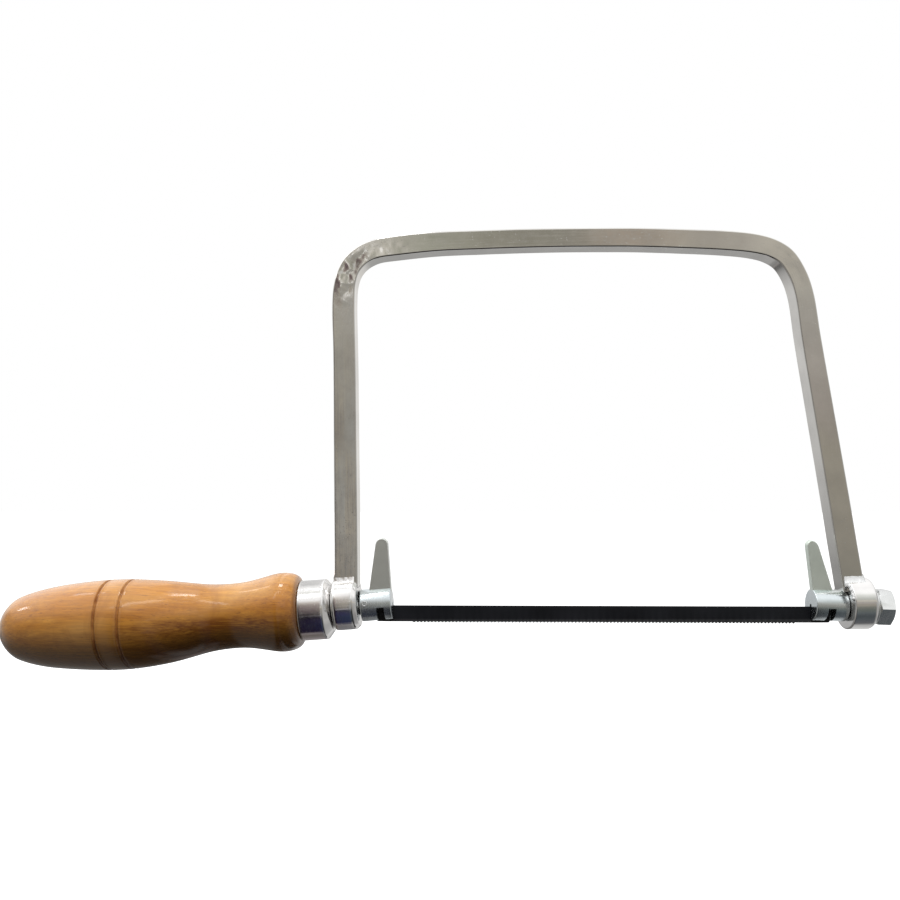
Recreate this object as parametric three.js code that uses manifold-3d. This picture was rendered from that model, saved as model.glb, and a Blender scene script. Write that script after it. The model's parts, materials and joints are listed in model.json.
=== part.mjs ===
// Coping saw: square-bar bow, two brazed eyes, swivelling blade holders with
// thumb levers, pin-end blade, turned wooden handle that tensions the blade.
// Millimetres. The bow lies in the XZ plane. +X runs from the handle to the
// front of the saw, +Z from the blade to the top of the bow, Y is across it.
// Origin: middle of the underside of the bow's top bar, where it hangs.
import * as THREE from 'three';
import { mergeVertices, mergeGeometries } from 'three/addons/utils/BufferGeometryUtils.js';
import Module from 'manifold-3d';

const wasm = await Module();
wasm.setup();

// ---------------------------------------------------------------- dimensions
const GAP = 0.3;                 // clearance left between touching pieces

// bow: outer edge line from the rear eye over the top to the front eye (x, z),
// and the width of the bar in the plane of the bow at each of those points
const BOW_DEPTH = 7.8;           // bar size across the bow, along Y
const BOW_EDGE = 0.7;            // rounding of the bar's long edges
const BOW_OUTER = [
  [-95.94, -121.4, 8.0], [-95.95, -105.29, 7.95], [-96.16, -70.0, 7.78], [-96.34, -40.0, 7.61], [-96.69, -19.49, 7.62],
  [-95.89, -12.47, 7.28], [-93.5, -6.23, 6.88], [-89.19, -1.57, 6.53], [-83.06, 1.61, 6.35], [-73.87, 3.34, 6.55],
  [-59.4, 4.76, 6.45], [-44.7, 5.31, 6.35], [-29.7, 5.79, 6.28], [-15.4, 6.03, 6.17], [-1.15, 6.14, 6.14],
  [13.1, 6.14, 6.2], [31.01, 5.68, 6.32], [45.33, 5.09, 6.5], [55.05, 4.0, 6.5], [61.83, 2.06, 6.37],
  [67.73, -1.68, 6.22], [72.0, -8.02, 6.2], [74.89, -15.76, 6.35], [77.83, -33.02, 6.65], [83.04, -62.36, 6.97],
  [88.06, -90.89, 7.23], [90.5, -105.26, 7.4], [92.85, -118.95, 7.45], [93.5, -122.85, 7.45],
];

// rear axis: handle, ferrule, stud and rear blade holder share it
const REAR_AXIS_POINT = [-92.52, -129.973];
const REAR_TILT = 4.04;          // degrees, rising to the front
// front axis: bolt, washer and front blade holder
const FRONT_AXIS_POINT = [81.3, -129.05];
const FRONT_TILT = -1.8;         // degrees, falling to the front

// eyes at the ends of the bow
const EYE_R = 9.4;
const EYE_ROUND = 0.9;           // rounding of the eye's rims
const REAR_EYE = { from: -4.1, to: 4.6, lift: 1.4, bore: 4.3 };
const FRONT_EYE = { centre: [92.05, -128.36], half: 4.2, tilt: 1.0, bore: 4.9 };

// handle: radius along the rear axis, butt first (distance from axis point, r)
const HANDLE_PROFILE = [
  [-125.1, 0], [-125.0, 1.9], [-124.4, 4.1], [-123.3, 6.0], [-121.6, 7.95], [-119.6, 9.7], [-117.2, 11.2],
  [-114, 12.42], [-110, 13.5], [-106, 14.32], [-101, 15.0], [-96, 15.52], [-91, 15.9], [-87, 16.05],
  [-84.9, 16.08], [-84.3, 15.62], [-83.7, 16.1], [-80.5, 16.1], [-76.8, 16.03], [-76.2, 15.56], [-75.6, 15.98],
  [-72.5, 15.72], [-69, 15.35], [-65, 14.88], [-61, 14.28], [-57, 13.55], [-53, 12.78], [-49.5, 12.17],
  [-46, 11.82], [-43, 11.66], [-40, 11.62], [-37, 11.74], [-34, 12.1], [-31, 12.7], [-28, 13.35],
  [-25.5, 13.85], [-23.5, 14.1], [-22, 14.1], [-20.3, 13.9], [-18.8, 13.5], [-17.5, 12.9],
  [-16.6, 12.2], [-16.1, 11.5], [-16.0, 10.95],
];
const TENON_R = 9.3, TENON_END = -8.0;
const INSERT = { r: 6.0, bore: 3.3, from: -26.0, to: -8.5 };
const STUD_R = 3.0, STUD_FROM = -40.0, STUD_TO = 9.0;
const STUD_HOLE_END = -44.0;     // clearance hole in the wood
const FERRULE = { r: 10.63, inner: 9.62, from: -15.7, shoulder: -6.5, to: -4.4, nose: 8.1, floor: -7.7, bore: 3.6 };

// blade holders: turned spigots with a blade slit and a cross notch for the pin
const HOLDER_R = 5.42;
const SLIT = 1.3;                // slit width
const SLIT_TOP = 0.5;            // slit reaches this far above the axis
const NOTCH = 2.8;               // notch width along the axis
const NOTCH_TOP = -0.6;          // notch reaches up to here, measured from the axis
const REAR_HOLDER = { from: 5.6, to: 17.05, slit: 9.9, notch: 12.97, socket: 9.4 };
const FRONT_HOLDER = { from: -5.6, to: 6.15, slit: 1.65, notch: 0.0, socket: 2.9 };
const LOCK_PIN = { r: 0.95, at: 7.5, angle: 20, proud: 0.3 };

// thumb levers, 3 mm plate let into the top of each holder (x, z)
const LEVER_T = 3.0;
const LEVER_SLOT = 3.95;         // height of the slot floor above the axis
const REAR_LEVER = [[-84.15, -124.72], [-81.65, -106.4], [-80.85, -105.3], [-79.4, -104.75], [-78.0, -105.25], [-77.25, -106.35], [-75.95, -124.2]];
const FRONT_LEVER = [[75.95, -124.3], [73.92, -107.2], [74.35, -106.2], [75.45, -105.5], [76.95, -106.05], [77.95, -107.3], [83.35, -124.5]];

// blade, pin-ended
const BLADE = { x0: -81.4, x1: 82.5, back: -129.3, tips: -135.22, t: 0.5, gullet: 0.6, pitch: 1.588, tooth0: -68, tooth1: 70 };
const PIN_R = 0.75, PIN_LEN = 5.0, PIN_Z = -132.1;
const REAR_PIN_X = -79.2, FRONT_PIN_X = 81.3;

// front bolt, M8 hexagon head, and its washer (distances along the front axis)
const BOLT = { r: 3.9, from: 3.2, head: 16.8, end: 22.45, af: 12.0 };
const WASHER = { from: 15.4, to: 16.5, r: 6.8, bore: 4.2 };

// ------------------------------------------------------------------ helpers
const V = (x, y) => new THREE.Vector2(x, y);
const rad = THREE.MathUtils.degToRad;

function solid(geometry) {
  const g = geometry.index ? geometry.clone() : mergeVertices(geometry.clone());
  g.deleteAttribute('normal');
  g.deleteAttribute('uv');
  const m = mergeVertices(g, 1e-4);
  return new wasm.Manifold(new wasm.Mesh({
    numProp: 3,
    vertProperties: new Float32Array(m.attributes.position.array),
    triVerts: new Uint32Array(m.index.array),
  }));
}
function geometryOf(manifold) {
  const m = manifold.getMesh();
  const g = new THREE.BufferGeometry();
  g.setAttribute('position', new THREE.BufferAttribute(new Float32Array(m.vertProperties), 3));
  g.setIndex(new THREE.BufferAttribute(new Uint32Array(m.triVerts), 1));
  g.computeVertexNormals();
  return g;
}
const cut = (a, ...tools) => tools.reduce((s, t) => s.subtract(t), a);

// solid of revolution about the local X axis from (x, r) points
function turned(profile, segments = 40) {
  const g = new THREE.LatheGeometry(profile.map(([x, r]) => V(r, x)), segments);
  g.rotateZ(-Math.PI / 2);        // the lathe's +Y becomes +X
  const s = solid(g);
  if (s.volume() > 0) return s;
  const flipped = new THREE.LatheGeometry(profile.slice().reverse().map(([x, r]) => V(r, x)), segments);
  flipped.rotateZ(-Math.PI / 2);
  return solid(flipped);
}
// plain round bar about the local X axis
function bar(x0, x1, r, segments = 32) {
  const g = new THREE.CylinderGeometry(r, r, x1 - x0, segments);
  g.rotateZ(-Math.PI / 2);
  g.translate((x0 + x1) / 2, 0, 0);
  return solid(g);
}
function block(x0, x1, y0, y1, z0, z1) {
  const g = new THREE.BoxGeometry(x1 - x0, y1 - y0, z1 - z0);
  g.translate((x0 + x1) / 2, (y0 + y1) / 2, (z0 + z1) / 2);
  return solid(g);
}
// flat plate in the XZ plane from an outline, centred on Y = 0
function plate(outline, thickness, edge = 0, steps = 1) {
  const shape = new THREE.Shape(outline.map(([x, z]) => V(x, z)));
  const g = new THREE.ExtrudeGeometry(shape, {
    depth: thickness - 2 * edge, bevelEnabled: edge > 0, bevelThickness: edge, bevelSize: edge,
    bevelOffset: -edge, bevelSegments: steps, steps: 1,
  });
  g.translate(0, 0, edge - thickness / 2);
  g.rotateX(Math.PI / 2);         // shape Y becomes Z
  return solid(g);
}
// puts a piece made along the local X axis onto one of the saw's axes
function onAxis(manifold, point, tilt) {
  const m = new THREE.Matrix4().makeRotationY(-rad(tilt));
  m.setPosition(point[0], 0, point[1]);
  return manifold.transform(m.elements);
}
const onRear = (m) => onAxis(m, REAR_AXIS_POINT, REAR_TILT);
const onFront = (m) => onAxis(m, FRONT_AXIS_POINT, FRONT_TILT);

const group = new THREE.Group();
function add(name, manifold, color, roughness, metalness) {
  const mesh = new THREE.Mesh(geometryOf(manifold),
    new THREE.MeshStandardMaterial({ color, roughness, metalness }));
  mesh.name = name;
  group.add(mesh);
}
const CHROME = [0xc9c7c2, 0.18, 1.0];
const ZINC = [0xa9b2b2, 0.38, 1.0];
const STEEL = [0x8d9296, 0.35, 1.0];
const WOOD = [0xb98245, 0.35, 0.0];
const BLACK = [0x17181a, 0.5, 0.6];

// ---------------------------------------------------------------------- bow
const outerCurve = new THREE.CatmullRomCurve3(
  BOW_OUTER.map(([x, z, w]) => new THREE.Vector3(x, z, w)), false, 'centripetal');
const outer = [], inner = [];
const BOW_STEPS = 96;
for (let i = 0; i <= BOW_STEPS; i += 1) {
  const u = i / BOW_STEPS;
  const p = outerCurve.getPointAt(u), d = outerCurve.getTangentAt(u);
  const l = Math.hypot(d.x, d.y);
  outer.push([p.x, p.y]);
  inner.push([p.x + (d.y / l) * p.z, p.y - (d.x / l) * p.z]);
}
const bowOutline = [...outer, ...inner.reverse()];
const rearEyeRound = onRear(bar(REAR_EYE.from - GAP, REAR_EYE.to + 3, EYE_R + GAP, 64)
  .translate([0, 0, REAR_EYE.lift]));
const frontEyeRound = onAxis(bar(-FRONT_EYE.half - GAP, FRONT_EYE.half + 3, EYE_R + GAP, 64),
  FRONT_EYE.centre, FRONT_EYE.tilt);
const bow = cut(plate(bowOutline, BOW_DEPTH, BOW_EDGE, 2), rearEyeRound, frontEyeRound,
  onFront(bar(FRONT_HOLDER.from - 1, FRONT_HOLDER.to + 1, HOLDER_R + GAP, 44)));
add('bow_frame', bow, ...CHROME);

function eyeBlank(x0, x1) {
  const e = EYE_ROUND, pts = [[x0, 0]];
  for (let i = 0; i <= 3; i += 1) {
    const a = (i / 3) * Math.PI / 2;
    pts.push([x0 + e - e * Math.cos(a), EYE_R - e + e * Math.sin(a)]);
  }
  for (let i = 3; i >= 0; i -= 1) {
    const a = (i / 3) * Math.PI / 2;
    pts.push([x1 - e + e * Math.cos(a), EYE_R - e + e * Math.sin(a)]);
  }
  pts.push([x1, 0]);
  return turned(pts, 48);
}
add('rear_eye', onRear(cut(eyeBlank(REAR_EYE.from, REAR_EYE.to).translate([0, 0, REAR_EYE.lift]),
  bar(REAR_EYE.from - 5, REAR_EYE.to + 5, REAR_EYE.bore))), ...CHROME);
add('front_eye', cut(
  onAxis(eyeBlank(-FRONT_EYE.half, FRONT_EYE.half), FRONT_EYE.centre, FRONT_EYE.tilt),
  onFront(bar(0, 30, FRONT_EYE.bore))), ...CHROME);

// ------------------------------------------------------------------- handle
const wood = turned([...HANDLE_PROFILE, [-16.0, TENON_R], [TENON_END - 0.6, TENON_R], [TENON_END, TENON_R - 0.6], [TENON_END, 0]], 44);
add('wood_handle', onRear(cut(wood,
  bar(INSERT.from - GAP, 0, INSERT.r + GAP),
  bar(STUD_HOLE_END, 0, STUD_R + 0.7, 24))), ...WOOD);
add('ferrule', onRear(cut(
  turned([[FERRULE.from, 0], [FERRULE.from, FERRULE.r - 0.35], [FERRULE.from + 0.35, FERRULE.r],
    [FERRULE.shoulder, FERRULE.r], [FERRULE.to, FERRULE.nose], [FERRULE.to, 0]], 48),
  bar(FERRULE.from - 1, FERRULE.floor, FERRULE.inner, 48),
  bar(FERRULE.floor - 1, FERRULE.to + 1, FERRULE.bore, 32))), ...CHROME);
add('handle_insert', onRear(cut(
  turned([[INSERT.from, 0], [INSERT.from, INSERT.r - 0.5], [INSERT.from + 0.5, INSERT.r],
    [INSERT.to - 0.5, INSERT.r], [INSERT.to, INSERT.r - 0.5], [INSERT.to, 0]], 32),
  bar(INSERT.from - 1, INSERT.to + 1, INSERT.bore, 32))), ...STEEL);
add('rear_stud', onRear(turned([[STUD_FROM, 0], [STUD_FROM, STUD_R - 0.6], [STUD_FROM + 0.6, STUD_R],
  [STUD_TO - 0.4, STUD_R], [STUD_TO, STUD_R - 0.4], [STUD_TO, 0]], 28)), ...STEEL);

// ------------------------------------------------------------ blade holders
function holder(h, boreR, inward) {
  // inward: +1 when the blade leaves towards +X (rear holder), -1 at the front
  const c = 0.45;
  let s = turned([[h.from, 0], [h.from, HOLDER_R - c], [h.from + c, HOLDER_R],
    [h.to - c, HOLDER_R], [h.to, HOLDER_R - c], [h.to, 0]], 44);
  const slit = inward > 0
    ? block(h.slit, h.to + 1, -SLIT / 2, SLIT / 2, -HOLDER_R - 1, SLIT_TOP)
    : block(h.from - 1, h.slit, -SLIT / 2, SLIT / 2, -HOLDER_R - 1, SLIT_TOP);
  const notch = block(h.notch - NOTCH / 2, h.notch + NOTCH / 2, -HOLDER_R - 1, HOLDER_R + 1, -HOLDER_R - 1, NOTCH_TOP);
  const socket = inward > 0 ? bar(h.from - 1, h.socket, boreR) : bar(h.socket, h.to + 1, boreR);
  return cut(s, slit, notch, socket);
}
// slot in the top of the holder that the lever's foot stands in
function leverSlot(outline) {
  const xs = outline.map((p) => p[0]);
  const x0 = outline[0][0], x1 = outline[outline.length - 1][0];
  return [Math.min(x0, x1) - GAP, Math.max(x0, x1) + GAP, Math.min(...xs)];
}
const pinTurn = new THREE.Matrix4().makeRotationX(rad(LOCK_PIN.angle));
const lockPinBlank = (r, r0, r1) => {
  const g = new THREE.CylinderGeometry(r, r, r1 - r0, 16);
  g.translate(0, (r0 + r1) / 2, 0);
  g.rotateX(Math.PI);              // points to -Y
  g.rotateX(-rad(LOCK_PIN.angle)); // and up
  g.translate(LOCK_PIN.at, 0, 0);
  return solid(g);
};
function leverFoot(outline, extra) {
  const [x0, x1] = leverSlot(outline);
  return block(x0, x1, -LEVER_T / 2 - GAP, LEVER_T / 2 + GAP, extra[0], extra[1]);
}
const rearSpigot = cut(onRear(cut(holder(REAR_HOLDER, STUD_R + GAP, 1),
  lockPinBlank(LOCK_PIN.r + GAP, STUD_R + 0.2, HOLDER_R + 2))),
  leverFoot(REAR_LEVER, [-125.02, -118]));
add('rear_blade_holder', rearSpigot, ...ZINC);
add('rear_lever', plate(REAR_LEVER, LEVER_T, 0.35, 1), ...ZINC);
add('rear_lock_pin', onRear(lockPinBlank(LOCK_PIN.r, STUD_R + 0.65, HOLDER_R + LOCK_PIN.proud)), ...STEEL);

const frontSpigot = cut(onFront(holder(FRONT_HOLDER, BOLT.r + GAP, -1)),
  leverFoot(FRONT_LEVER, [-124.8, -118]));
add('front_blade_holder', frontSpigot, ...ZINC);
add('front_lever', plate(FRONT_LEVER, LEVER_T, 0.35, 1), ...ZINC);

// hexagon head with its corners turned off at the outer end, one corner to -Y
const hexR = BOLT.af / Math.sqrt(3);
const hexGeo = new THREE.CylinderGeometry(hexR, hexR, BOLT.end - BOLT.head, 6);
hexGeo.rotateZ(-Math.PI / 2);
hexGeo.rotateX(Math.PI / 2);
hexGeo.translate((BOLT.head + BOLT.end) / 2, 0, 0);
const dome = turned([[BOLT.head - 1, 0], [BOLT.head - 1, hexR + 1], [BOLT.end - 0.9, hexR + 0.1],
  [BOLT.end, BOLT.af / 2 - 0.35], [BOLT.end, 0]], 48);
add('front_bolt', onFront(solid(hexGeo).intersect(dome).add(bar(BOLT.from, BOLT.head + 1, BOLT.r))), ...STEEL);
add('front_washer', onFront(cut(bar(WASHER.from, WASHER.to, WASHER.r, 40),
  bar(WASHER.from - 1, WASHER.to + 1, WASHER.bore))), ...STEEL);

// -------------------------------------------------------------------- blade
const bladeOutline = [[BLADE.x0 + 0.5, BLADE.back], [BLADE.x0, BLADE.back - 0.5], [BLADE.x0, BLADE.tips + 1.0], [BLADE.x0 + 0.6, BLADE.tips + 0.4],
  [BLADE.tooth0, BLADE.tips + 0.4]];
// teeth rake back towards the handle, so the saw cuts on the pull stroke
for (let x = BLADE.tooth0; x < BLADE.tooth1 - BLADE.pitch / 2; x += BLADE.pitch) {
  bladeOutline.push([x + 0.12, BLADE.tips]);
  bladeOutline.push([x + BLADE.pitch - 0.35, BLADE.tips + BLADE.gullet]);
}
bladeOutline.push([BLADE.tooth1, BLADE.tips + 0.4], [BLADE.x1 - 0.6, BLADE.tips + 0.4], [BLADE.x1, BLADE.tips + 1.0],
  [BLADE.x1, BLADE.back - 0.5], [BLADE.x1 - 0.5, BLADE.back]);
const pinHole = (x) => {
  const g = new THREE.CylinderGeometry(PIN_R + 0.2, PIN_R + 0.2, 4, 16);
  g.translate(x, 0, PIN_Z);
  return solid(g);
};
add('saw_blade', cut(plate(bladeOutline, BLADE.t), pinHole(REAR_PIN_X), pinHole(FRONT_PIN_X)), ...BLACK);
for (const [name, x] of [['rear_blade_pin', REAR_PIN_X], ['front_blade_pin', FRONT_PIN_X]]) {
  const g = new THREE.CylinderGeometry(PIN_R, PIN_R, PIN_LEN, 16);
  g.translate(x, 0, PIN_Z);
  add(name, solid(g), ...BLACK);
}

export default group;
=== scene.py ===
import bpy, bmesh, json, math
from mathutils import Vector, Matrix, noise

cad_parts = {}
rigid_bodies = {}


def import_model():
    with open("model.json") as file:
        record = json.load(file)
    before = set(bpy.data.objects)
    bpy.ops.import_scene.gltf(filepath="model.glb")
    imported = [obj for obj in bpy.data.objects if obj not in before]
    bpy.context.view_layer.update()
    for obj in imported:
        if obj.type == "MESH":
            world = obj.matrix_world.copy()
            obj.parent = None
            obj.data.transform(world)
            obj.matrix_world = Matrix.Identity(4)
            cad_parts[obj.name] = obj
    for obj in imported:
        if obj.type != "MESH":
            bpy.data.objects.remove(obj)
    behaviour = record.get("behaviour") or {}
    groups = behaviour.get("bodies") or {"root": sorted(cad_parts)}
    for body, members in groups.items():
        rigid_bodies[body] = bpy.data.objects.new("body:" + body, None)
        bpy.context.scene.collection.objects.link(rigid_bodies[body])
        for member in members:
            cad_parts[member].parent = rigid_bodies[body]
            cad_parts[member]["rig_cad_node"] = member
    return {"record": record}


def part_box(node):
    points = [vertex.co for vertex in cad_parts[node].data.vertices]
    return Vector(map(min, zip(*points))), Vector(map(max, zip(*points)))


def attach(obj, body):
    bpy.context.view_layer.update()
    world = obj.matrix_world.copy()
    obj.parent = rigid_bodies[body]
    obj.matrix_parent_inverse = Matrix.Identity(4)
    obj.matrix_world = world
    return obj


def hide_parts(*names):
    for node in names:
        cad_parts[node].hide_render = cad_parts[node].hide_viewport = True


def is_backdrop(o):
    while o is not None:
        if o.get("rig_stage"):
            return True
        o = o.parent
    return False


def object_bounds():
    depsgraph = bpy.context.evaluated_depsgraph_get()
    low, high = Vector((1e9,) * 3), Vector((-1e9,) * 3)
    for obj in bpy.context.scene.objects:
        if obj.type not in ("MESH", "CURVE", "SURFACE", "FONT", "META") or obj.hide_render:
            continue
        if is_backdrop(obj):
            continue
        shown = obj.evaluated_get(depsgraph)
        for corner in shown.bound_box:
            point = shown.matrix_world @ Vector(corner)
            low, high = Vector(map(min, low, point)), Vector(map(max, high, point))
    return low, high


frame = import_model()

cad_lo, cad_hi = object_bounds()
scene = bpy.context.scene
scene.view_settings.view_transform = "Standard"
scene.view_settings.look = "None"

MM = 0.001
joints = {j["name"]: j for j in frame["record"]["behaviour"]["joints"]}


# ------------------------------------------------------------------ axes
class Axis:
    """A line in the saw's plane: points on it are (distance, radius, angle), in mm."""

    def __init__(self, joint):
        self.p = Vector(joints[joint]["pos_m"])
        self.a = Vector(joints[joint]["axis"]).normalized()
        self.y = Vector((0, 1, 0))
        self.n = self.a.cross(self.y).normalized()
        if self.n.z < 0:
            self.n = -self.n

    def at(self, t, r=0.0, phi=0.0, lift=0.0):
        """phi 0 is up (+Z side), 90 degrees is towards the camera side (-Y)."""
        return (self.p + self.a * (t * MM) + self.n * ((r * math.cos(phi) + lift) * MM)
                - self.y * (r * math.sin(phi) * MM))

    def matrix(self):
        m = Matrix((self.a, self.y, self.n)).transposed().to_4x4()
        m.translation = self.p
        return m


rear = Axis("handle_turn")
front = Axis("front_swivel")


# ------------------------------------------------------------- mesh tools
def link(name, mesh, material, body, replaces=(), smooth=35):
    o = bpy.data.objects.new(name, mesh)
    scene.collection.objects.link(o)
    mesh.materials.clear()
    mesh.materials.append(material)
    for p in mesh.polygons:
        p.use_smooth = True
    if smooth:
        mesh.set_sharp_from_angle(angle=math.radians(smooth))
    if replaces:
        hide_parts(*replaces)
    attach(o, body)
    return o


def mesh_of(name, verts, faces):
    me = bpy.data.meshes.new(name)
    me.from_pydata([tuple(v) for v in verts], [], faces)
    me.validate()
    me.update()
    return me


def outward(me):
    bm = bmesh.new()
    bm.from_mesh(me)
    bmesh.ops.recalc_face_normals(bm, faces=bm.faces)
    bm.to_mesh(me)
    bm.free()
    me.update()


def catmull(points, per_mm=2.0):
    """Centripetal Catmull-Rom through the points, resampled evenly."""
    pts = [Vector(p) for p in points]
    ext = [pts[0] * 2 - pts[1]] + pts + [pts[-1] * 2 - pts[-2]]
    out = []
    for i in range(1, len(ext) - 2):
        p0, p1, p2, p3 = ext[i - 1], ext[i], ext[i + 1], ext[i + 2]
        d0 = max((p1 - p0).length ** 0.5, 1e-4)
        d1 = max((p2 - p1).length ** 0.5, 1e-4)
        d2 = max((p3 - p2).length ** 0.5, 1e-4)
        t1 = ((p1 - p0) / d0 - (p2 - p0) / (d0 + d1) + (p2 - p1) / d1) * d1
        t2 = ((p2 - p1) / d1 - (p3 - p1) / (d1 + d2) + (p3 - p2) / d2) * d1
        n = max(4, int((p2 - p1).length * per_mm))
        for k in range(n):
            s = k / n
            out.append(p1 + t1 * s + (p1 * -3 + p2 * 3 - t1 * 2 - t2) * s * s
                       + (p1 * 2 - p2 * 2 + t1 + t2) * s ** 3)
    out.append(pts[-1])
    return out


def resample(points, step):
    acc = [0.0]
    for a, b in zip(points, points[1:]):
        acc.append(acc[-1] + (b - a).length)
    n = max(2, int(round(acc[-1] / step)))
    out, j = [], 0
    for i in range(n + 1):
        s = acc[-1] * i / n
        while j < len(acc) - 2 and acc[j + 1] < s:
            j += 1
        f = (s - acc[j]) / max(acc[j + 1] - acc[j], 1e-9)
        out.append(points[j].lerp(points[j + 1], min(1.0, max(0.0, f))))
    return out


def relax(points, rounds):
    for _ in range(rounds):
        points = [points[0]] + [
            points[i] * 0.5 + (points[i - 1] + points[i + 1]) * 0.25
            for i in range(1, len(points) - 1)
        ] + [points[-1]]
    return points


def lathe(axis, profile, seg=96, lift=0.0, ring=False):
    """Solid of revolution of (t, r) in mm. ring: the profile is a closed loop off the axis."""
    verts, faces, rows = [], [], []
    along = []
    s = 0.0
    prev = None
    for t, r in profile:
        if prev is not None:
            s += math.hypot(t - prev[0], r - prev[1])
        prev = (t, r)
        if r < 1e-6:
            rows.append([len(verts)])
            verts.append(axis.at(t, 0, 0, lift))
            along.append((s * MM, 0.0, 0.0))
        else:
            row = []
            for k in range(seg):
                phi = 2 * math.pi * k / seg
                row.append(len(verts))
                verts.append(axis.at(t, r, phi, lift))
                along.append((s * MM, 0.0, 0.0))
            rows.append(row)
    pairs = list(zip(rows, rows[1:]))
    if ring:
        pairs.append((rows[-1], rows[0]))
    for a, b in pairs:
        for k in range(seg):
            k2 = (k + 1) % seg
            if len(a) == 1 and len(b) == 1:
                continue
            if len(a) == 1:
                faces.append((a[0], b[k], b[k2]))
            elif len(b) == 1:
                faces.append((a[k], b[0], a[k2]))
            else:
                faces.append((a[k], b[k], b[k2], a[k2]))
    me = mesh_of("lathe", verts, faces)
    outward(me)
    return me


def rounded(profile, radius, steps=4):
    """Rounds the corners of an open (t, r) profile; radius is one number or one per corner."""
    n = len(profile)
    if not isinstance(radius, (list, tuple)):
        radius = [radius] * n
    out = [profile[0]]
    for i in range(1, n - 1):
        p, q, s = Vector(profile[i - 1]), Vector(profile[i]), Vector(profile[i + 1])
        d1, d2 = (p - q), (s - q)
        rr = min(radius[i], d1.length * 0.48, d2.length * 0.48)
        if rr <= 1e-4:
            out.append(tuple(q))
            continue
        a, b = q + d1.normalized() * rr, q + d2.normalized() * rr
        for k in range(steps + 1):
            f = k / steps
            out.append(tuple(a * (1 - f) ** 2 + q * 2 * f * (1 - f) + b * f * f))
    out.append(profile[-1])
    return out


def dense(profile, step):
    out = [profile[0]]
    for a, b in zip(profile, profile[1:]):
        n = max(1, int(math.hypot(b[0] - a[0], b[1] - a[1]) / step))
        for k in range(1, n + 1):
            out.append((a[0] + (b[0] - a[0]) * k / n, a[1] + (b[1] - a[1]) * k / n))
    return out


def box_mesh(x0, x1, y0, y1, z0, z1, matrix=None):
    v = [Vector((x, y, z)) * MM for x in (x0, x1) for y in (y0, y1) for z in (z0, z1)]
    if matrix is not None:
        v = [matrix @ p for p in v]
    f = [(0, 1, 3, 2), (4, 6, 7, 5), (0, 4, 5, 1), (2, 3, 7, 6), (0, 2, 6, 4), (1, 5, 7, 3)]
    me = mesh_of("box", v, f)
    outward(me)
    return me


def boolean(me, cutters, op="DIFFERENCE"):
    o = bpy.data.objects.new("bool_base", me)
    scene.collection.objects.link(o)
    tools = []
    for c in cutters:
        t = bpy.data.objects.new("bool_tool", c)
        scene.collection.objects.link(t)
        tools.append(t)
        m = o.modifiers.new("b", "BOOLEAN")
        m.operation, m.solver, m.object = op, "EXACT", t
    dg = bpy.context.evaluated_depsgraph_get()
    out = bpy.data.meshes.new_from_object(o.evaluated_get(dg))
    for t in tools + [o]:
        bpy.data.objects.remove(t)
    return out


def crisp(o, width, segments=3, angle=38):
    """Small worn roundings on the sharp edges."""
    b = o.modifiers.new("edge", "BEVEL")
    b.width, b.segments, b.limit_method = width * MM, segments, "ANGLE"
    b.angle_limit = math.radians(angle)
    b.harden_normals = True
    b.use_clamp_overlap = True
    return o


def plate_mesh(outline, thickness, inset=0.0):
    """Flat plate in the XZ plane centred on Y=0, outline in mm."""
    n = len(outline)
    v = [Vector((x, -thickness / 2, z)) * MM for x, z in outline]
    v += [Vector((x, thickness / 2, z)) * MM for x, z in outline]
    f = [tuple(range(n)), tuple(range(2 * n - 1, n - 1, -1))]
    f += [(i, (i + 1) % n, (i + 1) % n + n, i + n) for i in range(n)]
    me = mesh_of("plate", v, f)
    outward(me)
    return me


def bead(name, path, radius, seed, material, body, rough=0.35, step=0.25, flat=None):
    """A run of braze or weld metal along a path (mm)."""
    pts = resample([Vector(p) for p in path], step)
    verts, faces, rows = [], [], []
    n, seg = len(pts), 14
    for i, p in enumerate(pts):
        t = (pts[min(i + 1, n - 1)] - pts[max(i - 1, 0)]).normalized()
        up = Vector((0.31, 0.2, 0.93))
        a = t.cross(up).normalized()
        b = t.cross(a).normalized()
        end = min(1.0, (i + 0.5) / 5, (n - 0.5 - i) / 5)
        w = math.sqrt(max(0.02, 1 - (1 - end) ** 2))
        row = []
        for k in range(seg):
            phi = 2 * math.pi * k / seg
            d = a * math.cos(phi) + b * math.sin(phi)
            q = p + d * radius * w
            h = noise.noise(q * 1.1 + Vector((seed, 0, 0))) * rough
            h += noise.noise(q * 2.7 + Vector((0, seed, 0))) * rough * 0.5
            row.append(len(verts))
            verts.append((p + d * radius * w * (1 + h)) * MM)
        rows.append(row)
    for a, b in zip(rows, rows[1:]):
        for k in range(seg):
            k2 = (k + 1) % seg
            faces.append((a[k], b[k], b[k2], a[k2]))
    faces.append(tuple(rows[0]))
    faces.append(tuple(reversed(rows[-1])))
    me = mesh_of(name, verts, faces)
    outward(me)
    o = link(name, me, material, body, smooth=80)
    s = o.modifiers.new("sub", "SUBSURF")
    s.levels = s.render_levels = 1
    return o


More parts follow.
